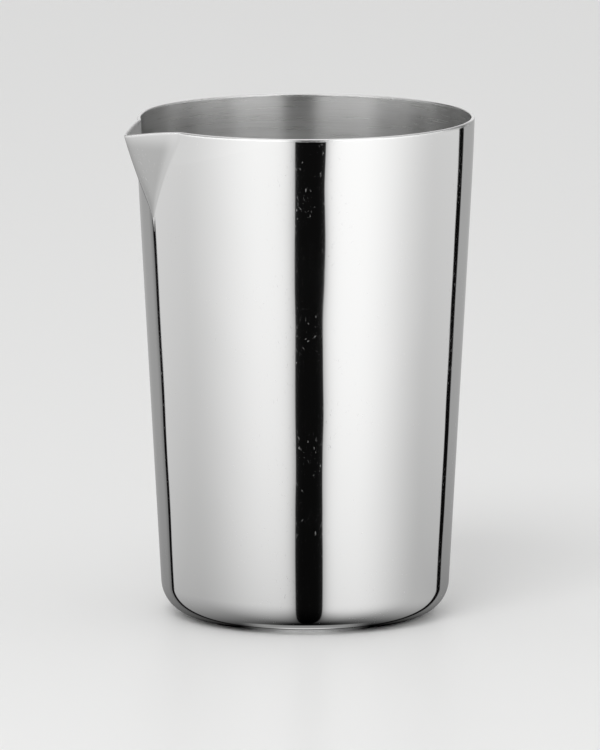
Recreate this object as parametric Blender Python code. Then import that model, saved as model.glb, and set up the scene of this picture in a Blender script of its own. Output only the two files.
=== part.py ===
"""Double-walled cocktail stirring tin with a folded pour spout.

A mirror-polished outer shell and a satin inner liner are drawn from thin steel sheet, nested and welded
round the lip. A flat plate closes the shell underneath. Units are metres, +Z is up, the origin is on the
tin's axis at the table, and the spout points along -X.
"""
import math

import bmesh
import bpy

# Driving dimensions
HEIGHT = 0.1325                            # table to the top of the lip, away from the spout
RIM_DIAMETER = 0.0894                      # outside of the wall, at the top of the lip
BASE_DIAMETER = 0.0755                     # outside of the straight wall, carried down to the table
LIP_DRAW = 0.0003                          # how far the wall draws in to the lip from its straight taper
LIP_DRAW_SPAN = 0.0080                     # height over which that fades out, going down
HEEL_RADIUS = 0.0088                       # outside bend between the wall and the foot
SHELL_SHEET = 0.00035                      # sheet of the outer shell
LINER_SHEET = 0.00035                      # sheet of the inner liner
SEAM_CLEARANCE = 0.0002                    # between pieces that are welded together

SPOUT_HEIGHT = 0.0244                      # from the lip down to where the keel leaves the wall
SPOUT_REACH = 0.0072                       # tip of the keel beyond the wall
SPOUT_HALF_ANGLE = math.radians(18.85)     # keel to side crease at the lip, round the tin's axis
SPOUT_DROP = 0.0019                        # how far the lip sinks at the tip
DROP_CURVE = 1.15                          # 1 sinks it evenly from crease to tip, more leaves it later
KEEL_RADIUS = 0.0012                       # outside bend along the keel, at the lip
KEEL_FOOT_RADIUS = 0.0090                  # and at the spout's foot, where it runs out into the wall
KEEL_BOW = 1.13                            # 1 is a straight keel, more bows it outwards
CREASE_BLEND = 0.0006                      # height of the soft step where a flank meets the wall
SPOUT_FADE = 0.20                          # share of the spout's height over which its foot fades in
NECK_DEPTH = 0.00047                       # how far the wall draws in at the side creases
NECK_SINK = 0.00025                        # how far the lip sinks there
NECK_SPREAD = math.radians(22.0)           # angle past a crease over which the wall recovers

LIP_HEIGHT = 0.0006                        # the round lip above the two sheets' edges
LIP_EDGE_RADIUS = 0.0004                   # rounding of the lip's two upper edges
AIR_GAP = 0.0030                           # between the walls at the level of the liner's floor
FLOOR_GAP = 0.0035                         # between the base plate and the liner's floor
LINER_HEEL_RADIUS = 0.0120                 # outside bend between the liner's wall and floor

FOOT_WIDTH = 0.0024                        # flat ring that the tin stands on
LEDGE_WIDTH = 0.0040                       # turned-in ledge that backs the base plate
LEDGE_BEND = 0.0006                        # bends of the step between the foot and the ledge
PLATE_THICKNESS = 0.0006                   # disc that closes the shell underneath
PLATE_EDGE_RADIUS = 0.0002                 # rounding of its edge
WELD_WIDTH = 0.0010                        # seam round the base plate
WELD_EDGE_RADIUS = 0.0002                  # rounding of the seam's two lower edges

COLUMNS = 84                               # facets round the tin
COLUMN_CROWDING = 0.85                     # 0 spaces them evenly, towards 1 they crowd at the keel
LIP_ROWS = 7                               # rows of facets down the spout
FACET_ERROR = 0.0001                       # how far a bend's facets may cut inside its arc
LARGEST_CUT = 0.5                          # and the most that they may, as a share of its radius
FLAT_RISE = 1e-6                           # share of the spout's height below which there is no V
MERGE_DISTANCE = 1e-7                      # points closer than this are one
SHARP_EDGE = math.radians(35)              # edges that turn more than this are shaded as sharp

# Sizes that follow from them
RIM_RADIUS = RIM_DIAMETER / 2
BASE_RADIUS = BASE_DIAMETER / 2
TAPER_RADIUS = RIM_RADIUS + LIP_DRAW
LIP_WIDTH = SHELL_SHEET + SEAM_CLEARANCE + LINER_SHEET
SPOUT_FOOT = HEIGHT - SPOUT_HEIGHT
SHEET_TOP = HEIGHT - LIP_HEIGHT - SEAM_CLEARANCE
LEDGE_RISE = PLATE_THICKNESS + SEAM_CLEARANCE
LINER_FLOOR = LEDGE_RISE + SHELL_SHEET + FLOOR_GAP
WALL_LEAN = math.atan2(TAPER_RADIUS - BASE_RADIUS, HEIGHT)
FOOT_OUTER = BASE_RADIUS - HEEL_RADIUS / math.tan(math.pi / 4 + WALL_LEAN / 2)
FOOT_INNER = FOOT_OUTER - FOOT_WIDTH
LEDGE_OUTER = FOOT_INNER - LEDGE_RISE
PLATE_RADIUS = LEDGE_OUTER - WELD_WIDTH - 2 * SEAM_CLEARANCE


def wall_radius(z):
    """Outside radius of the shell's wall at height z: a straight taper that draws in towards the lip."""
    taper = BASE_RADIUS + (TAPER_RADIUS - BASE_RADIUS) * z / HEIGHT
    return taper - LIP_DRAW * math.exp((z - HEIGHT) / LIP_DRAW_SPAN)


def liner_radius(z):
    """Outside radius of the liner's wall: against the shell at the lip, free of it below."""
    below_lip = (SHEET_TOP - z) / (SHEET_TOP - LINER_FLOOR)
    return wall_radius(z) - SHELL_SHEET - SEAM_CLEARANCE - (AIR_GAP - SEAM_CLEARANCE) * below_lip


def soft_max(a, b, blend):
    """The larger of two values, with a smooth turn where they are within blend of each other."""
    if blend <= 0:
        return max(a, b)
    near = max(blend - abs(a - b), 0) / blend
    return max(a, b) + blend * near ** 3 / 6


def spout_shift(angle, z):
    """How far the spout moves the wall outwards and down, at an angle from its keel and a height.

    Each level of the spout is a V: two straight flanks from the keel to the side creases. The V opens
    steadily from the spout's foot to the lip, its keel sharpens, and the wall beside it draws in.
    """
    rise = soft_max((z - SPOUT_FOOT) / SPOUT_HEIGHT, 0, SPOUT_FADE)
    if rise < FLAT_RISE:
        return 0, 0
    wall = wall_radius(z)
    crease = SPOUT_HALF_ANGLE * rise
    shoulder = wall - NECK_DEPTH * rise ** 2
    keel = wall + SPOUT_REACH * (1 - max(1 - rise, 0) ** KEEL_BOW)
    step = keel - shoulder * math.cos(crease)
    bend = KEEL_RADIUS * rise + KEEL_FOOT_RADIUS * max(1 - rise, 0) ** 3
    rounding = step / (shoulder * math.sin(crease)) * bend / keel
    slope = step / (shoulder * (math.hypot(math.sin(crease), rounding) - rounding))
    side = min(abs(angle), math.atan(slope))
    flank = keel / (math.cos(side) + slope * (math.hypot(math.sin(side), rounding) - rounding))
    past_crease = max(abs(angle) - crease, 0) / NECK_SPREAD
    neck = rise ** 2 * math.exp(-past_crease ** 2)
    outwards = soft_max(flank, wall - NECK_DEPTH * neck, CREASE_BLEND * rise) - wall
    down = NECK_SINK * neck + SPOUT_DROP * max(outwards / SPOUT_REACH, 0) ** DROP_CURVE
    return outwards, down


def rounded(corners):
    """Points of a path whose corners are (radius, height, bend), with an arc at each bend."""
    points = []
    for index, (r, z, bend) in enumerate(corners):
        if bend == 0:
            points.append((r, z))
            continue
        before = direction(corners[index], corners[index - 1])
        after = direction(corners[index], corners[(index + 1) % len(corners)])
        half = math.acos(before[0] * after[0] + before[1] * after[1]) / 2
        reach = bend / math.tan(half)
        middle = (before[0] + after[0], before[1] + after[1])
        scale = bend / math.sin(half) / math.hypot(*middle)
        centre = (r + middle[0] * scale, z + middle[1] * scale)
        start = math.atan2(z + before[1] * reach - centre[1], r + before[0] * reach - centre[0])
        end = math.atan2(z + after[1] * reach - centre[1], r + after[0] * reach - centre[0])
        turn = (end - start + math.pi) % (2 * math.pi) - math.pi
        steps = math.ceil(abs(turn) / (2 * math.acos(1 - min(FACET_ERROR / bend, LARGEST_CUT))))
        for step in range(steps + 1):
            a = start + turn * step / steps
            points.append((centre[0] + bend * math.cos(a), centre[1] + bend * math.sin(a)))
    return points


def direction(start, end):
    """Unit vector from one corner towards another."""
    length = math.hypot(end[0] - start[0], end[1] - start[1])
    return (end[0] - start[0]) / length, (end[1] - start[1]) / length


def inside(corners, sheet):
    """The path one sheet's thickness to the right of a path, with its bends widened or tightened."""
    moved = []
    for index, (r, z, bend) in enumerate(corners):
        neighbours = corners[max(index - 1, 0):index + 2]
        behind = direction(*neighbours[:2])
        ahead = direction(*neighbours[-2:])
        mitre = sheet / (1 + behind[0] * ahead[0] + behind[1] * ahead[1])
        left_turn = behind[0] * ahead[1] - behind[1] * ahead[0]
        new_bend = bend + math.copysign(sheet, left_turn) if bend else 0
        moved.append((r + mitre * (behind[1] + ahead[1]), z - mitre * (behind[0] + ahead[0]), new_bend))
    return moved


def lip_levels():
    """Heights of the rows of facets from the sheets' edges down past the spout's foot."""
    lowest = SPOUT_FOOT - SPOUT_FADE * SPOUT_HEIGHT
    return [SHEET_TOP + (lowest - SHEET_TOP) * row / LIP_ROWS for row in range(LIP_ROWS + 1)]


def turned(name, points, closed, material):
    """A solid turned from a section of (radius, height) points, with the spout folded into its top.

    A closed section makes a ring. An open one starts and ends on the axis.
    """
    bm = bmesh.new()
    verts = [bm.verts.new((r, 0, z)) for r, z in points]
    pairs = list(zip(verts, verts[1:]))
    if closed:
        pairs.append((verts[-1], verts[0]))
    edges = [bm.edges.new(pair) for pair in pairs]
    bmesh.ops.spin(bm, geom=verts + edges, cent=(0, 0, 0), axis=(0, 0, 1), angle=2 * math.pi,
                   steps=COLUMNS, use_merge=True)
    bmesh.ops.remove_doubles(bm, verts=bm.verts, dist=MERGE_DISTANCE)
    for vert in bm.verts:
        x, y, z = vert.co
        r = math.hypot(x, y)
        even = math.atan2(y, x)
        angle = even - COLUMN_CROWDING * math.sin(even)
        outwards, down = spout_shift(angle, z)
        vert.co = (-(r + outwards) * math.cos(angle), -(r + outwards) * math.sin(angle), z - down)
    bmesh.ops.recalc_face_normals(bm, faces=bm.faces)
    if bm.calc_volume(signed=True) < 0:
        bmesh.ops.reverse_faces(bm, faces=bm.faces)
    mesh = bpy.data.meshes.new(name)
    bm.to_mesh(mesh)
    bm.free()
    mesh.shade_smooth()
    mesh.set_sharp_from_angle(angle=SHARP_EDGE)
    mesh.materials.append(material)
    piece = bpy.data.objects.new(name, mesh)
    bpy.context.collection.objects.link(piece)
    return piece


def steel(name, tone, roughness):
    """A bare stainless steel finish."""
    material = bpy.data.materials.new(name)
    material.use_nodes = True
    shader = material.node_tree.nodes["Principled BSDF"]
    shader.inputs["Base Color"].default_value = (tone, tone, tone, 1)
    shader.inputs["Metallic"].default_value = 1
    shader.inputs["Roughness"].default_value = roughness
    return material


def outer_shell():
    """Drawn shell: tapered wall, round heel, flat foot and a ledge turned in behind it."""
    skin = [(wall_radius(z), z, 0) for z in lip_levels()]
    skin += [(BASE_RADIUS, 0, HEEL_RADIUS),
             (FOOT_INNER, 0, LEDGE_BEND),
             (LEDGE_OUTER, LEDGE_RISE, LEDGE_BEND),
             (LEDGE_OUTER - LEDGE_WIDTH, LEDGE_RISE, 0)]
    section = rounded(skin) + rounded(inside(skin, SHELL_SHEET))[::-1]
    turned("outer_shell", section, True, steel("mirror_steel", tone=0.72, roughness=0.04))


def inner_liner():
    """Drawn cup: wall that leaves the shell below the lip, round heel and flat floor."""
    skin = [(liner_radius(z), z, 0) for z in lip_levels()]
    skin += [(liner_radius(LINER_FLOOR), LINER_FLOOR, LINER_HEEL_RADIUS), (0, LINER_FLOOR, 0)]
    section = rounded(inside(skin, LINER_SHEET))[::-1] + rounded(skin)
    turned("inner_liner", section, False, steel("satin_steel", tone=0.60, roughness=0.30))


def rim_weld():
    """Seam across the two sheets' edges, ground to a round lip."""
    seat = HEIGHT - LIP_HEIGHT
    outer, inner = RIM_RADIUS, RIM_RADIUS - LIP_WIDTH
    section = [(inner, seat, 0), (inner, HEIGHT, LIP_EDGE_RADIUS),
               (outer, HEIGHT, LIP_EDGE_RADIUS), (outer, seat, 0)]
    turned("rim_weld", rounded(section), True, steel("polished_lip", tone=0.75, roughness=0.08))


def base_plate():
    """Flat disc level with the foot, seated under the shell's ledge."""
    section = [(0, PLATE_THICKNESS, 0), (PLATE_RADIUS, PLATE_THICKNESS, PLATE_EDGE_RADIUS),
               (PLATE_RADIUS, 0, PLATE_EDGE_RADIUS), (0, 0, 0)]
    turned("base_plate", rounded(section), False, steel("turned_steel", tone=0.58, roughness=0.28))


def base_weld():
    """Flat seam bead that fills the groove between the base plate and the foot."""
    inner = PLATE_RADIUS + SEAM_CLEARANCE
    outer = inner + WELD_WIDTH
    bottom, top = SEAM_CLEARANCE / 2, PLATE_THICKNESS
    section = [(inner, top, 0), (outer, top, 0),
               (outer, bottom, WELD_EDGE_RADIUS), (inner, bottom, WELD_EDGE_RADIUS)]
    turned("base_weld", rounded(section), True, steel("ground_weld", tone=0.55, roughness=0.35))


for leftover in list(bpy.data.objects):
    bpy.data.objects.remove(leftover)
outer_shell()
inner_liner()
rim_weld()
base_plate()
base_weld()
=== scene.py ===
import math

import bpy
import numpy as np
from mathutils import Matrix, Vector


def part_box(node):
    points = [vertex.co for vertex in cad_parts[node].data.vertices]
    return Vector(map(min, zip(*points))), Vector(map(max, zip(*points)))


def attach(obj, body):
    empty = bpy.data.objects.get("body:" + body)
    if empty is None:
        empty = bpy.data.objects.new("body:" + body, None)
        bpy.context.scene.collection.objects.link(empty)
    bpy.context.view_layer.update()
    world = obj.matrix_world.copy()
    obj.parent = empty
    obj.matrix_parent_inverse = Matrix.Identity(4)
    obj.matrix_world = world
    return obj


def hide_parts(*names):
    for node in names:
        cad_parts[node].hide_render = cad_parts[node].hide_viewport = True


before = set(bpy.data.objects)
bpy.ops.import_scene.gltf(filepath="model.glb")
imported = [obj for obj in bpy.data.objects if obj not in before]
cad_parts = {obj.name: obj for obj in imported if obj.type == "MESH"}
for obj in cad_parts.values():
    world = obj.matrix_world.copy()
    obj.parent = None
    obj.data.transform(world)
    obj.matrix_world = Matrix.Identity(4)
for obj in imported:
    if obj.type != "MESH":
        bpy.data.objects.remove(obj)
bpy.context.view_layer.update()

# Outer shell
# The outside cup, deep drawn from thin stainless sheet and polished to a mirror. The pour spout is pressed
# into it together with the liner, and its foot turns in to a ledge that backs the base plate.
lip_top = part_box("rim_weld")[1]
HEIGHT = lip_top.z
RIM_RADIUS = lip_top.x
SHEET_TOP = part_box("outer_shell")[1].z
BASE_RADIUS = 0.03775                      # straight wall carried down to the table
LIP_DRAW = 0.0003                          # how far the wall draws in to the lip from its straight taper
LIP_DRAW_SPAN = 0.0080                     # height over which that fades out, going down
SHELL_SHEET = 0.00035
HEEL_RADIUS = 0.0088
HEEL_RISE = 1.2                            # times its radius, a height that clears a heel's curve
FOOT_WIDTH = 0.0024
LEDGE_RISE = 0.0008
LEDGE_WIDTH = 0.0040
LEDGE_BEND = 0.0006
SPOUT_HEIGHT = 0.0244                      # from the lip down to where the keel leaves the wall
SPOUT_REACH = 0.0072                       # tip of the keel beyond the wall
SPOUT_HALF_ANGLE = math.radians(18.85)     # keel to side crease at the lip
SPOUT_DROP = 0.0019                        # how far the lip sinks at the tip
DROP_CURVE = 1.15                          # 1 sinks it evenly from crease to tip, more leaves it later
KEEL_RADIUS = 0.0012                       # bend along the keel at the lip
KEEL_FOOT_RADIUS = 0.0090                  # and at the spout's foot, where it runs out into the wall
KEEL_BOW = 1.13                            # 1 is a straight keel, more bows it outwards
CREASE_BLEND = 0.0006                      # height of the soft step where a flank meets the wall
SPOUT_FADE = 0.20                          # share of the spout's height over which its foot fades in
NECK_DEPTH = 0.00047                       # how far the wall draws in at the side creases
NECK_SINK = 0.00025                        # how far the lip sinks there
NECK_SPREAD = math.radians(22.0)           # angle past a crease over which the wall recovers
LEAST_RISE = 1e-6                          # below this share of the spout's height there is no V
COLUMNS = 400
CROWDING = 0.85                            # 0 spaces the columns evenly, towards 1 they crowd at the keel
SPOUT_ROWS = 56
WALL_ROWS = 10
HEEL_STEPS = 32
BEND_STEPS = 8
HIDDEN_SHARE = 3                           # one point in so many is kept on a skin that nobody sees
SHARP_EDGE = math.radians(35)              # edges that turn more than this are shaded sharp
TAPER_RADIUS = RIM_RADIUS + LIP_DRAW
SPOUT_FOOT = HEIGHT - SPOUT_HEIGHT
SPOUT_END = SPOUT_FOOT - SPOUT_FADE * SPOUT_HEIGHT
WALL_LEAN = math.atan2(TAPER_RADIUS - BASE_RADIUS, HEIGHT)
FOOT_OUTER = BASE_RADIUS - HEEL_RADIUS / math.tan(math.pi / 4 + WALL_LEAN / 2)
FOOT_INNER = FOOT_OUTER - FOOT_WIDTH
LEDGE_OUTER = FOOT_INNER - LEDGE_RISE
HEEL_TOP = HEEL_RADIUS * HEEL_RISE

MIRROR_TONE = (0.86, 0.86, 0.855)
FLANK_SHADE_TONE = (0.57, 0.57, 0.565)            # painted shade: a lower tone that darkens the spout's flanks
FLANK_SHADE_EDGE = -0.10, 0.32                    # shares of the way from crease to keel over which that sets in
LIP_LIGHT_DEPTHS = 0.0060, 0.0010                # depths below the lip between which that painted shade lifts again, a painted lighter top
LIP_LIGHT_SHARE = 0.70                            # share of the painted shade that it takes away
MARK_TONE = (0.82, 0.82, 0.815)
MIRROR_ROUGHNESS = 0.03
NOISE_DETAIL = 2.0                         # how many times finer noise is added to the first, where not given
HAZE = 0.03                                # roughness that the polishing leaves in patches
HAZE_GRAIN = (0.012, 0.012, 0.030)
HAZE_RANGE = 0.4, 0.7                      # values of its noise between which it sets in
MARK_ROUGHNESS = 0.35
WAVE_GRAIN = (0.020, 0.020, 0.032)         # the sheet's slow waves, left by drawing and polishing
WAVE_DETAIL = 1.0
WAVE_DEPTH = 0.00016
CLUSTER_GRAIN = (0.010, 0.010, 0.016)      # the marks come in patches of this size
CLUSTER_RANGE = 0.43, 0.57
PIT_GRAIN = (0.0012, 0.0012, 0.0012)
PIT_SIZE, PIT_SHARE = 0.085, 0.90          # of a cell of that grain, and of all cells
STROKE_GRAIN = (0.0004, 0.0004, 0.0040)
STROKE_SIZE, STROKE_SHARE = 0.20, 0.80
STROKE_TURNS = (0, 0, 0), (0.2, 0.75, 0), (-0.2, -0.5, 0)


def wall_radius(z):
    """Outside radius of the wall: a straight taper, less LIP_DRAW times e to the minus depth below the lip
    over LIP_DRAW_SPAN."""
    taper = BASE_RADIUS + (TAPER_RADIUS - BASE_RADIUS) * z / HEIGHT
    return taper - LIP_DRAW * np.exp((z - HEIGHT) / LIP_DRAW_SPAN)


def soft_max(a, b, blend):
    """The larger of a and b, plus a sixth of blend times the cube of how near they are within it."""
    near = np.maximum(blend - np.abs(a - b), 0) / blend
    return np.maximum(a, b) + blend * near ** 3 / 6


def spout_shift(angle, z):
    """How far the spout moves the wall outwards and down, at an angle from its keel and a height, and how far
    inside the V that is: 1 on the keel, 0 at a crease, less beyond, and -1 everywhere below the foot.

    Each level of the spout is a V that opens with its rise, the share of its height from foot to lip. A flank
    is the straight line keel / (cos a + slope * sin a), whose sine is rounded off at the keel. The wall is
    the larger of that and a neck that draws in beside the V, and the lip sinks with both.
    """
    rise = np.maximum(soft_max((z - SPOUT_FOOT) / SPOUT_HEIGHT, 0, SPOUT_FADE), LEAST_RISE)
    wall = wall_radius(z)
    crease = SPOUT_HALF_ANGLE * rise
    shoulder = wall - NECK_DEPTH * rise ** 2
    keel = wall + SPOUT_REACH * (1 - np.maximum(1 - rise, 0) ** KEEL_BOW)
    step = keel - shoulder * np.cos(crease)
    bend = KEEL_RADIUS * rise + KEEL_FOOT_RADIUS * np.maximum(1 - rise, 0) ** 3
    rounding = step / (shoulder * np.sin(crease)) * bend / keel
    slope = step / (shoulder * (np.hypot(np.sin(crease), rounding) - rounding))
    side = np.minimum(np.abs(angle), np.arctan(slope))
    flank = keel / (np.cos(side) + slope * (np.hypot(np.sin(side), rounding) - rounding))
    past_crease = np.maximum(np.abs(angle) - crease, 0) / NECK_SPREAD
    neck = rise ** 2 * np.exp(-past_crease ** 2)
    outwards = soft_max(flank, wall - NECK_DEPTH * neck, CREASE_BLEND * rise) - wall
    down = NECK_SINK * neck + SPOUT_DROP * np.maximum(outwards / SPOUT_REACH, 0) ** DROP_CURVE
    inside = np.where(z > SPOUT_FOOT, 1 - np.abs(angle) / crease, -1)
    return outwards, down, np.maximum(inside, -1)


def unit(vectors):
    """Vectors divided by their lengths."""
    return vectors / np.linalg.norm(vectors, axis=-1, keepdims=True)


def fillet(before, corner, after, radius, steps):
    """Points of the arc that rounds a corner of a path.

    The centre lies on the corner's bisector, radius over the sine of half the corner's angle away, and the
    arc turns about it from one touching point to the other.
    """
    corner = np.array(corner)
    back = unit(np.array(before) - corner)
    ahead = unit(np.array(after) - corner)
    half = math.acos(back @ ahead) / 2
    centre = corner + unit(back + ahead) * radius / math.sin(half)
    reach = radius / math.tan(half)
    first = corner + back * reach - centre
    last = corner + ahead * reach - centre
    across = np.array([-first[1], first[0]]) * np.sign(first[0] * last[1] - first[1] * last[0])
    turn = np.linspace(0, math.pi - 2 * half, steps + 1)[:, None]
    return centre + first * np.cos(turn) + across * np.sin(turn)


def second_skin(skin, sheet):
    """The other side of a sheet: each point moved by the sheet's thickness to the right of the path."""
    along = unit(np.gradient(skin, axis=0))
    return skin + sheet * np.stack([along[:, 1], -along[:, 0]], axis=1)


def thinned(points):
    """One point in HIDDEN_SHARE of a path, with both its ends."""
    last = len(points) - 1
    return points[np.linspace(0, last, last // HIDDEN_SHARE).round().astype(int)]


def turned(name, profile, material):
    """A solid of revolution with the spout folded into its top.

    Point (row, column) is the profile's row swung to the column's angle, then moved by spout_shift. Angles
    crowd at the keel: an even angle less CROWDING times its sine. A profile that starts and ends on the
    axis closes there in two fans. Any other is a loop, and makes a ring. Its right-hand side is steel. The
    attribute "along" runs from 0 at the profile's first row to 1 at its last, and "folded" is how far inside
    the spout's V a point is.
    """
    even = np.linspace(-math.pi, math.pi, COLUMNS, endpoint=False)
    angle = even - CROWDING * np.sin(even)
    closed = profile[0, 0] > 0
    rows = profile if closed else profile[1:-1]
    radius, height = rows[:, :1], rows[:, 1:]
    outwards, down, folded = spout_shift(angle, height)
    reach = radius + outwards
    points = np.stack([-reach * np.cos(angle), -reach * np.sin(angle), height - down], axis=-1).reshape(-1, 3)
    index = np.arange(len(points)).reshape(len(rows), COLUMNS)
    here, after = (index, np.roll(index, -1, 0)) if closed else (index[:-1], index[1:])
    quads = np.stack([here, after, np.roll(after, -1, 1), np.roll(here, -1, 1)], axis=-1).reshape(-1, 4)
    faces = quads.tolist()
    if not closed:
        poles = np.array([[0, 0, profile[0, 1]], [0, 0, profile[-1, 1]]])
        start, end = np.full(COLUMNS, len(points)), np.full(COLUMNS, len(points) + 1)
        points = np.vstack([points, poles])
        faces += np.stack([start, index[0], np.roll(index[0], -1)], axis=-1).tolist()
        faces += np.stack([index[-1], end, np.roll(index[-1], -1)], axis=-1).tolist()
    mesh = bpy.data.meshes.new(name)
    mesh.from_pydata(points, [], faces)
    along = np.repeat(np.linspace(0, 1, len(rows)), COLUMNS)
    for label, values, ends in ("along", along, [0, 1]), ("folded", folded.ravel(), [-1, -1]):
        values = values if closed else np.concatenate([values, ends])
        mesh.attributes.new(label, "FLOAT", "POINT").data.foreach_set("value", values.astype(np.float32))
    mesh.shade_smooth()
    mesh.set_sharp_from_angle(angle=SHARP_EDGE)
    mesh.materials.append(material)
    piece = bpy.data.objects.new(name, mesh)
    bpy.context.scene.collection.objects.link(piece)
    return piece


class Wire:
    """The output of a shader node. Python's operators on it add Math nodes, and node() adds any other."""

    def __init__(self, socket):
        self.socket = socket

    def node(self, kind, settings, sockets, output=0):
        """Adds a node of a kind, makes its settings, then sets or links its sockets."""
        made = self.socket.id_data.nodes.new("ShaderNode" + kind)
        for key, value in settings.items():
            setattr(made, key, value)
        for key, value in sockets.items():
            if isinstance(value, Wire):
                value.to(made.inputs[key])
            else:
                made.inputs[key].default_value = value
        return Wire(made.outputs[output])

    def to(self, socket):
        """Links this to a socket."""
        self.socket.id_data.links.new(self.socket, socket)

    def math(self, operation, *values):
        """A Math node's result on its values."""
        return self.node("Math", {"operation": operation}, dict(enumerate(values)))

    def smooth(self, start, end):
        """0 up to start, 1 from end, and an S curve between."""
        return self.node("MapRange", {"interpolation_type": "SMOOTHSTEP"},
                         {"Value": self, "From Min": start, "From Max": end})

    def exp(self):
        """e to the power of this."""
        return self.math("EXPONENT", self)

    def bell(self):
        """e to the minus square of this: 1 where it is 0, fading past 1 on both sides."""
        return (-(self * self)).exp()

    def wave(self):
        """Half of 1 plus the sine of this."""
        return self.math("SINE", self) * 0.5 + 0.5

    def at_least(self, least):
        """This or least, whichever is larger."""
        return self.math("MAXIMUM", self, least)

    def at_most(self, most):
        """This or most, whichever is smaller."""
        return self.math("MINIMUM", self, most)

    def between(self, low, high):
        """The number low where this is 0, high where it is 1, and in a straight line between."""
        return low + (high - low) * self

    def mix(self, low, high):
        """The colour low where this is 0, high where it is 1, and their blend between."""
        low, high = (colour if isinstance(colour, Wire) else (*colour, 1) for colour in (low, high))
        return self.node("Mix", {"data_type": "RGBA"}, {0: self, 6: low, 7: high}, 2)

    def axes(self):
        """The three numbers of a vector."""
        return [self.node("SeparateXYZ", {}, {0: self}, axis) for axis in "XYZ"]

    def length(self):
        """The length of a vector."""
        return self.node("VectorMath", {"operation": "LENGTH"}, {0: self}, "Value")

    def towards(self, direction):
        """How much of a vector points along a direction: their dot product."""
        return self.node("VectorMath", {"operation": "DOT_PRODUCT"}, {0: self, 1: direction}, "Value")

    def __add__(self, other):
        return self.math("ADD", self, other)

    def __sub__(self, other):
        return self.math("SUBTRACT", self, other)

    def __mul__(self, other):
        return self.math("MULTIPLY", self, other)

    def __truediv__(self, other):
        return self.math("DIVIDE", self, other)

    def __radd__(self, other):
        return self.math("ADD", other, self)

    def __rsub__(self, other):
        return self.math("SUBTRACT", other, self)

    def __rmul__(self, other):
        return self.math("MULTIPLY", other, self)

    def __pow__(self, other):
        return self.math("POWER", self, other)

    def __lt__(self, other):
        return self.math("LESS_THAN", self, other)

    def __neg__(self):
        return self.math("MULTIPLY", self, -1)

    def __abs__(self):
        return self.math("ABSOLUTE", self)


def bare_steel(name, tone, roughness):
    """Uncoated stainless steel. Returns its material, its shader and the point on the piece, in metres."""
    material = bpy.data.materials.new(name)
    material.use_nodes = True
    nodes = material.node_tree.nodes
    shader = nodes["Principled BSDF"]
    shader.inputs["Metallic"].default_value = 1
    shader.inputs["Base Color"].default_value = (*tone, 1)
    shader.inputs["Roughness"].default_value = roughness
    return material, shader, Wire(nodes.new("ShaderNodeTexCoord").outputs["Object"])


def patterned(point, kind, grain, turn, sockets, output):
    """A texture node on the point, with features the size of the grain, in metres along each turned axis."""
    spread = point.node("Mapping", {"vector_type": "TEXTURE"},
                        {"Vector": point, "Rotation": turn, "Scale": grain})
    return spread.node(kind, {}, {"Vector": spread, "Scale": 1, **sockets}, output)


def noise(point, grain, detail=NOISE_DETAIL):
    """Smooth noise, mostly between 0.3 and 0.7."""
    return patterned(point, "TexNoise", grain, (0, 0, 0), {"Detail": detail}, 0)


def marks(point, grain, size, share, turn=(0, 0, 0)):
    """Up to 1 on small marks, shaped like the grain and this share of its size, in a share of its cells.

    Each cell draws a lot between 0 and 1. A mark's strength is the square of its lot over the share, and a
    cell with a larger lot than the share has none. From half its size outwards a mark fades.
    """
    distance = patterned(point, "TexVoronoi", grain, turn, {}, "Distance")
    lot = Wire(distance.socket.node.outputs["Color"]).axes()[0]
    strength = lot / share * (lot < share)
    return (1 - distance.smooth(size / 2, size)) * strength * strength


shell_foot = np.vstack([
    fillet((wall_radius(HEEL_TOP), HEEL_TOP), (BASE_RADIUS, 0), (FOOT_INNER, 0), HEEL_RADIUS, HEEL_STEPS),
    fillet((FOOT_OUTER, 0), (FOOT_INNER, 0), (LEDGE_OUTER, LEDGE_RISE), LEDGE_BEND, BEND_STEPS),
    fillet((FOOT_INNER, 0), (LEDGE_OUTER, LEDGE_RISE), (0, LEDGE_RISE), LEDGE_BEND, BEND_STEPS),
    [(LEDGE_OUTER - LEDGE_WIDTH, LEDGE_RISE)]])
wall_levels = np.concatenate([np.linspace(SHEET_TOP, SPOUT_END, SPOUT_ROWS, endpoint=False),
                              np.linspace(SPOUT_END, HEEL_TOP, WALL_ROWS)])
shell_skin = np.vstack([np.stack([wall_radius(wall_levels), wall_levels], axis=1), shell_foot])
mirror, mirror_shader, mirror_point = bare_steel("mirror_steel", MIRROR_TONE, MIRROR_ROUGHNESS)
# Painted shade: the spout's flanks get a lower tone from their creases to the keel, and less of it just below
# the lip, a painted lighter top.
folded = mirror_point.node("Attribute", {"attribute_name": "folded"}, {}, "Fac").smooth(*FLANK_SHADE_EDGE)
lit_below_lip = (HEIGHT - mirror_point.axes()[2]).smooth(*LIP_LIGHT_DEPTHS)
shaded_mirror_tone = (folded * (1 - LIP_LIGHT_SHARE * lit_below_lip)).mix(MIRROR_TONE, FLANK_SHADE_TONE)
cluster = noise(mirror_point, CLUSTER_GRAIN).smooth(*CLUSTER_RANGE)
pits = marks(mirror_point, PIT_GRAIN, PIT_SIZE, PIT_SHARE)
strokes = sum(marks(mirror_point, STROKE_GRAIN, STROKE_SIZE, STROKE_SHARE, turn) for turn in STROKE_TURNS)
marked = ((pits + strokes) * cluster).at_most(1)
haze = noise(mirror_point, HAZE_GRAIN).smooth(*HAZE_RANGE)
(MIRROR_ROUGHNESS + HAZE * haze + MARK_ROUGHNESS * marked).to(mirror_shader.inputs["Roughness"])
marked.mix(shaded_mirror_tone, MARK_TONE).to(mirror_shader.inputs["Base Color"])
wave = noise(mirror_point, WAVE_GRAIN, WAVE_DETAIL)
wave.node("Bump", {}, {"Height": wave, "Distance": WAVE_DEPTH}).to(mirror_shader.inputs["Normal"])
shell_inside = second_skin(shell_skin, SHELL_SHEET)[::-1]
shell = turned("shell_mirror", np.vstack([shell_skin, thinned(shell_inside)]), mirror)
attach(shell, "root")
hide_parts("outer_shell")

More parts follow.
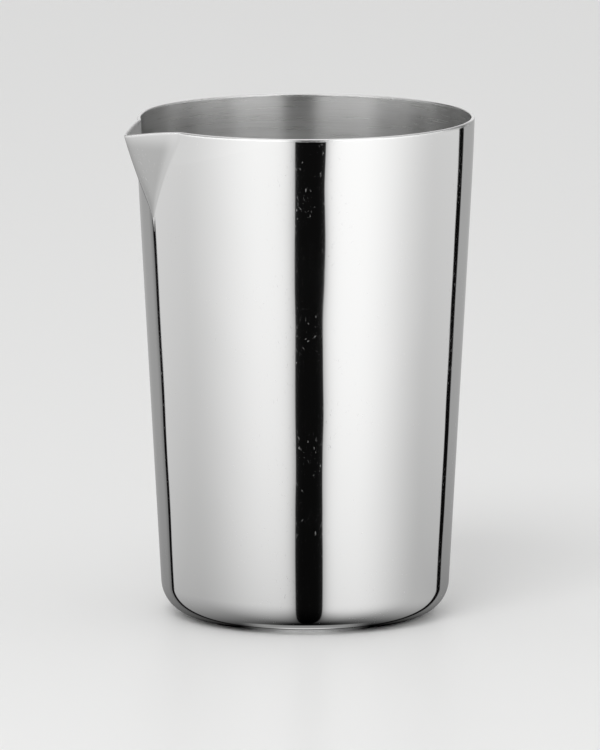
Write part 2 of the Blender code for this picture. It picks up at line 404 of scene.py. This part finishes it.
# Inner liner
# The inside cup, drawn from the same sheet with a wider heel and a flat floor, and brushed round and round
# to a satin. It is nested in the shell, meets it at the lip and leaves an air gap below.
LINER_SHEET = 0.00035
SEAM_CLEARANCE = 0.0002
AIR_GAP = 0.0030
LINER_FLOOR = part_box("inner_liner")[0].z
LINER_HEEL_RADIUS = 0.0120
FLOOR_ROWS = 12
LINER_HEEL_TOP = LINER_FLOOR + LINER_HEEL_RADIUS * HEEL_RISE

SATIN_TONE = (0.63, 0.63, 0.625)
LINE_TONE = (0.68, 0.68, 0.675)
STRAY_LOSS = 0.3                           # how much of a line's tone a stray takes away
SATIN_ROUGHNESS = 0.27
LINE_ROUGHNESS = 0.08
LINE_GRAIN = (0.018, 0.018, 0.00035)       # the brush's lines, long round the axis and thin
LINE_DETAIL = 3.0
LINE_RANGE = 0.3, 0.7
LINE_DEPTH = 0.0000025
STRAY_GRAIN = (0.060, 0.060, 0.0016)       # single deeper lines
STRAY_SIZE, STRAY_SHARE = 0.14, 0.5
STRAY_TURN = (0.05, 0.03, 0)
BRUSH_STRETCH = 0.90                       # how much more the brushing blurs across its lines than along
ACROSS_LINES = 0.25                        # a quarter turn: the lines run round the axis


def liner_radius(z):
    """Outside radius of the liner: the wall's, less the shell and a gap that grows evenly below the lip."""
    below_lip = (SHEET_TOP - z) / (SHEET_TOP - LINER_FLOOR)
    return wall_radius(z) - SHELL_SHEET - SEAM_CLEARANCE - (AIR_GAP - SEAM_CLEARANCE) * below_lip


liner_levels = np.concatenate([np.linspace(SHEET_TOP, SPOUT_END, SPOUT_ROWS, endpoint=False),
                               np.linspace(SPOUT_END, LINER_HEEL_TOP, WALL_ROWS)])
liner_heel = fillet((liner_radius(LINER_HEEL_TOP), LINER_HEEL_TOP), (liner_radius(LINER_FLOOR), LINER_FLOOR),
                    (0, LINER_FLOOR), LINER_HEEL_RADIUS, HEEL_STEPS)
floor_radii = np.linspace(liner_heel[-1, 0], 0, FLOOR_ROWS)[1:]
liner_skin = np.vstack([np.stack([liner_radius(liner_levels), liner_levels], axis=1), liner_heel,
                        np.stack([floor_radii, np.full(len(floor_radii), LINER_FLOOR)], axis=1)])
liner_inside = second_skin(liner_skin, LINER_SHEET)[::-1]
satin, satin_shader, satin_point = bare_steel("satin_steel", SATIN_TONE, SATIN_ROUGHNESS)
lines = noise(satin_point, LINE_GRAIN, LINE_DETAIL).smooth(*LINE_RANGE)
strays = marks(satin_point, STRAY_GRAIN, STRAY_SIZE, STRAY_SHARE, STRAY_TURN)
(lines * (1 - STRAY_LOSS * strays)).mix(SATIN_TONE, LINE_TONE).to(satin_shader.inputs["Base Color"])
(SATIN_ROUGHNESS + LINE_ROUGHNESS * (lines + strays)).to(satin_shader.inputs["Roughness"])
brushed = lines - strays
brushed.node("Bump", {}, {"Height": brushed, "Distance": LINE_DEPTH}).to(satin_shader.inputs["Normal"])
satin_shader.inputs["Anisotropic"].default_value = BRUSH_STRETCH
satin_shader.inputs["Anisotropic Rotation"].default_value = ACROSS_LINES
liner = turned("liner_satin", np.vstack([liner_inside, thinned(liner_skin)]), satin)
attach(liner, "root")
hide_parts("inner_liner")

# Rim weld
# The seam that joins the two cups at their edges, run round the whole lip and over the spout, then ground
# and polished to a round bead.
LIP_STEPS = 24
LIP_SQUARENESS = 3.2                       # 2 is an elliptical bead, more has steeper sides and a flatter top
LIP_TONE = (0.82, 0.82, 0.815)
LIP_INSIDE_TONE = (0.66, 0.66, 0.655)
LIP_ROUGHNESS = 0.18
LIP_INSIDE_ROUGHNESS = 0.08                # added where the liner's brushing runs up on to the bead
LIP_INSIDE = 0.30, 0.12                    # shares of the way over the bead between which that sets in
GRIND_GRAIN = (0.006, 0.006, 0.00025)
GRIND_DETAIL = 3.0
GRIND_RANGE = 0.35, 0.7
GRIND_ROUGHNESS = 0.10
BEAD_GRAIN = (0.0035, 0.0035, 0.0035)
BEAD_DEPTH = 0.000012                      # what grinding leaves of the weld's ripple
lip_outer = wall_radius(SHEET_TOP)
lip_inner = lip_outer - SHELL_SHEET - SEAM_CLEARANCE - LINER_SHEET

# The bead is the upper half of a superellipse: its width and height take the cosine and the sine of the angle
# over it to the power of 2 over LIP_SQUARENESS.
over_lip = np.linspace(math.pi, 0, LIP_STEPS)
lip_across = np.sign(np.cos(over_lip)) * np.abs(np.cos(over_lip)) ** (2 / LIP_SQUARENESS)
lip_up = np.maximum(np.sin(over_lip), 0) ** (2 / LIP_SQUARENESS)
lip_profile = np.stack([(lip_inner + lip_outer) / 2 + (lip_outer - lip_inner) / 2 * lip_across,
                        SHEET_TOP + (HEIGHT - SHEET_TOP) * lip_up], axis=1)
lip_finish, lip_shader, lip_point = bare_steel("polished_lip", LIP_TONE, LIP_ROUGHNESS)
inner_side = lip_point.node("Attribute", {"attribute_name": "along"}, {}, "Fac").smooth(*LIP_INSIDE)
grinding = noise(lip_point, GRIND_GRAIN, GRIND_DETAIL).smooth(*GRIND_RANGE)
inner_side.mix(LIP_TONE, LIP_INSIDE_TONE).to(lip_shader.inputs["Base Color"])
lip_roughness = LIP_ROUGHNESS + GRIND_ROUGHNESS * grinding + LIP_INSIDE_ROUGHNESS * inner_side
lip_roughness.to(lip_shader.inputs["Roughness"])
ripple = noise(lip_point, BEAD_GRAIN)
ripple.node("Bump", {}, {"Height": ripple, "Distance": BEAD_DEPTH}).to(lip_shader.inputs["Normal"])
lip = turned("lip_bead", lip_profile, lip_finish)
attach(lip, "root")
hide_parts("rim_weld")

# Base plate
# A flat stainless disc that closes the shell underneath, seated under the ledge and level with the foot.
# It is faced on a lathe, which leaves fine rings.
plate_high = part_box("base_plate")[1]
PLATE_EDGE_RADIUS = 0.0002
PLATE_ROWS = 24
PLATE_TONE = (0.54, 0.54, 0.535)
RING_TONE = (0.64, 0.64, 0.635)
PLATE_ROUGHNESS = 0.26
RING_ROUGHNESS = 0.10
RING_PITCH = 0.00045                       # the lathe's feed per turn
RING_DRIFT = 0.004                         # width of the bands in which the rings come and go
DRIFT_DETAIL = 4.0
DRIFT_RANGE = 0.3, 0.7
RING_DEPTH = 0.000004
RING_STRETCH = 0.80
plate_radius, plate_top = plate_high.x, plate_high.z
plate_rings = np.linspace(plate_radius - PLATE_EDGE_RADIUS, 0, PLATE_ROWS)
plate_profile = np.vstack([
    [(0, plate_top)],
    fillet((0, plate_top), (plate_radius, plate_top), (plate_radius, 0), PLATE_EDGE_RADIUS, BEND_STEPS),
    fillet((plate_radius, plate_top), (plate_radius, 0), (0, 0), PLATE_EDGE_RADIUS, BEND_STEPS),
    np.stack([plate_rings, np.zeros(PLATE_ROWS)], axis=1)[1:]])
turned_steel, plate_shader, plate_point = bare_steel("turned_steel", PLATE_TONE, PLATE_ROUGHNESS)
plate_reach = plate_point.length()
groove = (plate_reach * (2 * math.pi / RING_PITCH)).wave()
drift = plate_reach.node("TexNoise", {"noise_dimensions": "1D"},
                         {"W": plate_reach / RING_DRIFT, "Scale": 1, "Detail": DRIFT_DETAIL})
rings = groove * drift.smooth(*DRIFT_RANGE)
rings.mix(PLATE_TONE, RING_TONE).to(plate_shader.inputs["Base Color"])
(PLATE_ROUGHNESS + RING_ROUGHNESS * drift).to(plate_shader.inputs["Roughness"])
rings.node("Bump", {}, {"Height": rings, "Distance": RING_DEPTH}).to(plate_shader.inputs["Normal"])
plate_shader.inputs["Anisotropic"].default_value = RING_STRETCH
plate_shader.inputs["Anisotropic Rotation"].default_value = ACROSS_LINES
plate = turned("base_disc", plate_profile, turned_steel)
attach(plate, "root")
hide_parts("base_plate")

# Base weld
# The seam that holds the base plate in the shell's foot. It is a low ring of stainless weld, run round the
# plate's edge and ground nearly flat.
weld_low, weld_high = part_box("base_weld")
WELD_WIDTH = 0.0010
WELD_EDGE_RADIUS = 0.0002
WELD_TONE = (0.50, 0.50, 0.49)
WELD_CREST_TONE = (0.62, 0.62, 0.61)
WELD_ROUGHNESS = 0.30
WELD_GRAIN_ROUGHNESS = 0.16
WELD_RIPPLES = 168                         # round the whole seam
WELD_WANDER = 2.5                          # how far noise shifts them, in radians
WELD_GRAIN = (0.0020, 0.0020, 0.0020)
WELD_DETAIL = 3.0
WELD_RANGE = 0.3, 0.6                      # values of the noise between which the ripples rise
WELD_DEPTH = 0.00003
weld_outer = weld_high.x
weld_inner = weld_outer - WELD_WIDTH
weld_profile = np.vstack([
    [(weld_inner, weld_high.z), (weld_outer, weld_high.z)],
    fillet((weld_outer, weld_high.z), (weld_outer, weld_low.z), (weld_inner, weld_low.z), WELD_EDGE_RADIUS,
           BEND_STEPS),
    fillet((weld_outer, weld_low.z), (weld_inner, weld_low.z), (weld_inner, weld_high.z), WELD_EDGE_RADIUS,
           BEND_STEPS)])
ground_weld, weld_shader, weld_point = bare_steel("ground_weld", WELD_TONE, WELD_ROUGHNESS)
weld_x, weld_y = weld_point.axes()[:2]
weld_noise = noise(weld_point, WELD_GRAIN, WELD_DETAIL)
weld_turn = weld_x.math("ARCTAN2", weld_y, weld_x) * WELD_RIPPLES + weld_noise * WELD_WANDER
crests = weld_turn.wave() * weld_noise.smooth(*WELD_RANGE)
crests.mix(WELD_TONE, WELD_CREST_TONE).to(weld_shader.inputs["Base Color"])
(WELD_ROUGHNESS + WELD_GRAIN_ROUGHNESS * weld_noise).to(weld_shader.inputs["Roughness"])
crests.node("Bump", {}, {"Height": crests, "Distance": WELD_DEPTH}).to(weld_shader.inputs["Normal"])
weld = turned("base_seam", weld_profile, ground_weld)
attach(weld, "root")
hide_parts("base_weld")

# Camera
# A long lens nearly three metres off, a little above the lip, with the spout to the left.
CAMERA_AZIMUTH = math.radians(-24.33)      # 0 looks along +Y
CAMERA_ELEVATION = math.radians(9.267)
CAMERA_DISTANCE = 2.7
CAMERA_LENS = 489.5                        # millimetres, on a 36 mm sensor
CAMERA_REACH = 50                          # metres, well past the floor's edge
AIM_HEIGHT = 0.06330                       # the point on the tin's axis that the lens is level with
AIM_LEFT = 0.00136                         # the tin stands this far right of the picture's middle
back = Vector((math.sin(CAMERA_AZIMUTH) * math.cos(CAMERA_ELEVATION),
               -math.cos(CAMERA_AZIMUTH) * math.cos(CAMERA_ELEVATION),
               math.sin(CAMERA_ELEVATION)))
front = Vector((math.sin(CAMERA_AZIMUTH), -math.cos(CAMERA_AZIMUTH), 0))
right = Vector((math.cos(CAMERA_AZIMUTH), math.sin(CAMERA_AZIMUTH), 0))
camera = bpy.data.objects.new("camera", bpy.data.cameras.new("camera"))
camera.data.lens = CAMERA_LENS
camera.data.clip_end = CAMERA_REACH
camera.location = Vector((0, 0, AIM_HEIGHT)) + back * CAMERA_DISTANCE - right * AIM_LEFT
camera.rotation_mode = "QUATERNION"
camera.rotation_quaternion = (-back).to_track_quat("-Z", "Y")
bpy.context.scene.collection.objects.link(camera)
bpy.context.scene.camera = camera

# Floor
# A plain pale table top, which the camera sees behind the tin as well as under it.
FLOOR_RADIUS = 8.0
FLOOR_DROP = 0.0002                        # just clear of the foot
FLOOR_TONE = (0.82, 0.82, 0.815)
FLOOR_ROUGHNESS = 0.45
FLOOR_GLOSS = 0.15


def disc(name, radius, height, material):
    """A flat disc: a fan of COLUMNS triangles about its centre."""
    turn = np.linspace(0, 2 * math.pi, COLUMNS, endpoint=False)
    edge = np.stack([radius * np.cos(turn), radius * np.sin(turn), np.full(COLUMNS, height)], axis=1)
    index = np.arange(COLUMNS)
    mesh = bpy.data.meshes.new(name)
    mesh.from_pydata(np.vstack([edge, [(0, 0, height)]]), [],
                     np.stack([np.full(COLUMNS, COLUMNS), index, np.roll(index, -1)], axis=1).tolist())
    mesh.materials.append(material)
    made = bpy.data.objects.new(name, mesh)
    bpy.context.scene.collection.objects.link(made)
    return made


table = bpy.data.materials.new("pale_table")
table.use_nodes = True
table_shader = table.node_tree.nodes["Principled BSDF"]
table_shader.inputs["Base Color"].default_value = (*FLOOR_TONE, 1)
table_shader.inputs["Roughness"].default_value = FLOOR_ROUGHNESS
table_shader.inputs["Specular IOR Level"].default_value = FLOOR_GLOSS
floor = disc("floor", FLOOR_RADIUS, -FLOOR_DROP, table)
floor.visible_glossy = False

# Table shade
# What the polished steel sees of the table: the studio beyond it, dimmed towards the tin's foot, with some
# light that reaches in under the heel.
SHADE_RADIUS = 0.8
SHADE_DROP = 0.0004
FAR_SHADE, FAR_REACH = 0.434, 0.158        # share of the light lost at the axis, and the reach of that loss
SIDE_REACH = 0.11                          # how much further it reaches to the tin's two sides
RIGHT_LIGHT = 0.22                         # share of it that is missing to the front right
LEFT_SHADE, LEFT_REACH = 0.12, 0.062       # and what comes on top of it to the front left
FOOT_SHADE = 0.0338                        # radius out to which the table is black
FOOT_REACH = 0.0075                        # how far out it then takes the light to come up
FOOT_CURVE = 1.2, 1.65                     # and how slowly that starts, left and right
FOOT_BLEND = -0.15, 0.15                   # sines of the angles to the right where left becomes right
SIDE_LIGHT = 0.0052                        # how much nearer the light comes at the tin's two sides
FLARE, FLARE_WIDTH = 0.0020, 0.25          # how much further off it stays straight in front
UNDER_HEEL = 0.0353, 0.0346                # radii between which the table is lit again, under the heel
UNDER_SIDES = 0.30, 0.55                   # sines of the angles to both sides where that ends
UNDER_LIGHT = 0.40
UNDER_CORE = 0.0338, 0.0328                # the same for its brightest part
CORE_SIDES = 0.10, 0.35
CORE_LIGHT = 0.60
shade = bpy.data.materials.new("table_shade")
shade.use_nodes = True
shade_nodes = shade.node_tree.nodes
shade_nodes.remove(shade_nodes["Principled BSDF"])
shade_point = Wire(shade_nodes.new("ShaderNodeTexCoord").outputs["Object"])
from_axis = shade_point.length()
across = shade_point.towards(right) / from_axis
forward = shade_point.towards(front) / from_axis
lean = 2 * across * forward
reach = from_axis / (FAR_REACH + SIDE_REACH * across * across)
far_light = 1 - FAR_SHADE * (-reach).exp() * (1 - RIGHT_LIGHT * lean.at_least(0))
far_light = far_light - LEFT_SHADE * (from_axis / LEFT_REACH).bell() * (-lean).at_least(0)
flare = FLARE * (across / FLARE_WIDTH).bell() * forward.at_least(0)
past_foot = ((from_axis + SIDE_LIGHT * across * across - flare - FOOT_SHADE) / FOOT_REACH).at_least(0)
foot_curve = across.smooth(*FOOT_BLEND).between(*FOOT_CURVE)
near_light = 1 - (-(past_foot ** foot_curve)).exp()
off_front = abs(across)
under_light = UNDER_LIGHT * from_axis.smooth(*UNDER_HEEL) * (1 - off_front.smooth(*UNDER_SIDES))
core_light = CORE_LIGHT * from_axis.smooth(*UNDER_CORE) * (1 - off_front.smooth(*CORE_SIDES))
light_left = far_light * near_light + under_light + core_light
dimmed = light_left.node("BsdfTransparent", {}, {"Color": light_left})
dimmed.to(shade_nodes["Material Output"].inputs["Surface"])
table_shade = disc("table_shade", SHADE_RADIUS, -SHADE_DROP, shade)
table_shade.visible_camera = False
table_shade.visible_diffuse = False
table_shade.visible_shadow = False
table_shade.visible_transmission = False

# Studio
# Two large white screens wrap round the tin from the camera's sides towards the back, brightest beside the
# camera. The gap between them is black, and a grey backdrop stands behind them. The room itself is pale.
PALE = 0.80                                # what the camera sees of the room
ROOM_LIGHT = 0.80                          # and what lights the table
SCREEN_BRIGHT = 1.06, 1.14                 # left and right of the camera
SIDE_BLEND = -0.15, 0.30                   # sines of the angles to the right where left becomes right
SCREEN_FAR = 0.69, 0.618                   # shares of that brightness at the screens' far ends
SCREEN_TURN = math.radians(96), math.radians(30)  # angles from the camera where they are dim and bright
SCREEN_SKEW = math.radians(7.5)            # how much further round they dim on the right
SCREEN_HIGH = 0.0, 0.20                    # sines of the angles above level where the screens turn patchy
HIGH_END = 0.42, 0.62                      # where they are even again
FAR_LOW = -0.11, -0.03                     # where their far ends turn patchy
BACK_END = 0.08, 0.22                      # and where they close behind the tin, over the backdrop
HIGH_NEAR = math.radians(46), math.radians(57)  # angles from the camera where a first loss of light sets in
HIGH_FAR = math.radians(94), math.radians(108)  # and a second
HIGH_SKEW = math.radians(12)               # how much further round the second one is on the right
HIGH_LOSS = 0.48, 0.50                     # shares of their light that they lose past each
GAP_LEFT, GAP_RIGHT = 0.1130, 0.2265       # from the camera to the gap's edges, about the angles' sines
GAP_SPREAD = 0.25                          # 0 gives it edges that run level over the tin, 0.5 upright ones
GAP_HIGH = 0.018                           # how much further right it reaches above level
GAP_TONE = 0.004
GAP_SKIRT, SKIRT_WIDTH = 0.030, 0.018      # what strays into it past its edges
GAP_EDGE = 0.010
GAP_TOP = 0.45, 0.60                       # sines of the angles above level where it closes
GAP_GLOW = 0.60                            # share of its light that a screen loses at the gap
GLOW_LEFT, GLOW_RIGHT = 0.075, 0.062       # and how far from it that reaches
IN_FRONT = -0.10, 0.05                     # cosines of the angles from the camera where the gap's half begins
BACKDROP_TONE = 0.385
BACKDROP_GLOW = 0.07                       # added in its middle
BACKDROP_TILT = 0.035                      # added to its right and taken from its left
BACKDROP_TURN = math.radians(-1.85)
BACKDROP_EDGE = math.cos(math.radians(43.75))
BACKDROP_MIDDLE = math.cos(math.radians(24))  # where that glow begins
BACKDROP_FADE, FADE_WIDTH = 0.28, 0.08     # share of its light that it loses at its left edge
FADE_SIDE = 0.3                            # sine of the angle past which an edge counts as the left one
SCREEN_END_TURN = math.radians(-0.25)
SCREEN_END = math.cos(math.radians(49.85))
EDGE_BLUR = 0.010                          # half the width of a soft edge, in cosines
LEVEL_LIGHT = 1.3                          # how much brighter the screens are a little above level
LEVEL_AT, LEVEL_WIDTH = 0.05, 0.06
LEVEL_BEHIND = -0.60, -0.10                # cosines of the angles from the camera where that sets in
TOP_LIGHT = 0.85                           # a pale ceiling, seen behind the tin by its lip
TOP_RANGE = -0.10, -0.02                   # sines of the angles above level where it begins
TOP_BEHIND = 0.75, 0.97                    # cosines of the angles from straight behind where it sets in
world = bpy.data.worlds.new("studio")
world.use_nodes = True
world.cycles.sampling_method = "NONE"
bpy.context.scene.world = world
world_nodes = world.node_tree.nodes
gaze = Wire(world_nodes.new("ShaderNodeTexCoord").outputs["Generated"])


def level(azimuth):
    """The level direction at an angle to the right of the camera's, seen from the tin."""
    return Vector((math.sin(CAMERA_AZIMUTH + azimuth), -math.cos(CAMERA_AZIMUTH + azimuth), 0))


def beyond(edge, facing):
    """1 where facing, an angle's cosine, is past an edge's, 0 before it, and an S curve over EDGE_BLUR."""
    return facing.smooth(edge - EDGE_BLUR, edge + EDGE_BLUR)


ahead, aside, above = gaze.towards(front), gaze.towards(right), gaze.towards((0, 0, 1))
turned_away = abs(aside.math("ARCTAN2", aside, ahead))
on_right = aside.smooth(*SIDE_BLEND)
brightness = on_right.between(*SCREEN_BRIGHT)
far_share = on_right.between(*SCREEN_FAR)
screen = brightness * (turned_away - SCREEN_SKEW * on_right).smooth(*SCREEN_TURN).between(far_share, 1)
below_end = 1 - above.smooth(*HIGH_END)
over_back = above.smooth(*BACK_END)
high = above.smooth(*SCREEN_HIGH) * below_end
past_screen = beyond(SCREEN_END, gaze.towards(level(math.pi - SCREEN_END_TURN)))
lost_near = HIGH_LOSS[0] * turned_away.smooth(*HIGH_NEAR) * high
lost_far = HIGH_LOSS[1] * (turned_away - HIGH_SKEW * on_right).smooth(*HIGH_FAR) * (1 - past_screen)
lost_far = lost_far * above.smooth(*FAR_LOW) * below_end * (1 - on_right * over_back)
in_front = ahead.smooth(*IN_FRONT) * (1 - above.smooth(*GAP_TOP))
level_part = ahead * ahead + aside * aside
across_gap = aside / level_part ** GAP_SPREAD
past_left = (-across_gap - GAP_LEFT).at_least(0)
gap_right = GAP_RIGHT + GAP_HIGH * high
past_right = (across_gap - gap_right).at_least(0)
glow_lost = GAP_GLOW * in_front * (-(past_left / GLOW_LEFT + past_right / GLOW_RIGHT)).exp()
gap_left_side = across_gap.smooth(-GAP_LEFT - GAP_EDGE, -GAP_LEFT)
in_gap = in_front * gap_left_side * (1 - (across_gap - gap_right).smooth(0, GAP_EDGE))
from_left, from_right = (across_gap + GAP_LEFT).at_least(0), (gap_right - across_gap).at_least(0)
skirts = (-from_left / SKIRT_WIDTH).exp() + (-from_right / SKIRT_WIDTH).exp()
strayed = GAP_SKIRT * in_gap * skirts
on_screen = 1 - past_screen * (1 - over_back)
behind = gaze.towards(level(math.pi - BACKDROP_TURN))
on_backdrop = beyond(BACKDROP_EDGE, behind) * (1 - over_back)
backdrop = BACKDROP_TONE + BACKDROP_GLOW * behind.smooth(BACKDROP_MIDDLE, 1) + BACKDROP_TILT * aside
left_edge = (1 - behind.smooth(BACKDROP_EDGE, BACKDROP_EDGE + FADE_WIDTH)) * (-aside).smooth(0, FADE_SIDE)
backdrop = backdrop * (1 - BACKDROP_FADE * left_edge)
at_level = ((above - LEVEL_AT) / LEVEL_WIDTH).bell() * ahead.smooth(*LEVEL_BEHIND)
screen = screen * (1 - lost_near - lost_far) * (1 + LEVEL_LIGHT * at_level) * (1 - glow_lost) * (1 - in_gap)
from_sides = screen * on_screen + backdrop * on_backdrop + strayed + GAP_TONE
from_top = TOP_LIGHT * above.smooth(*TOP_RANGE) * behind.smooth(*TOP_BEHIND)
studio = from_sides.at_least(from_top)
path = world_nodes.new("ShaderNodeLightPath")
camera_ray = Wire(path.outputs["Is Camera Ray"])
glossy_ray = Wire(path.outputs["Is Glossy Ray"])
light = glossy_ray * studio + camera_ray * PALE + (1 - glossy_ray) * (1 - camera_ray) * ROOM_LIGHT
world_nodes["Background"].inputs["Color"].default_value = (1, 1, 1, 1)
light.to(world_nodes["Background"].inputs["Strength"])

# Key light
# One large soft lamp above and to the left gives the tin its shadow on the table.
KEY_PLACE = Vector((-0.9, -0.9, 1.6))
KEY_SIZE = 0.9
KEY_POWER = 12.0
key = bpy.data.objects.new("key", bpy.data.lights.new("key", "AREA"))
key.data.size = KEY_SIZE
key.data.energy = KEY_POWER
key.location = KEY_PLACE
key.rotation_mode = "QUATERNION"
key.rotation_quaternion = (-KEY_PLACE).to_track_quat("-Z", "Y")
key.visible_glossy = False
key.visible_camera = False
bpy.context.scene.collection.objects.link(key)

bpy.context.scene.view_settings.view_transform = "Standard"
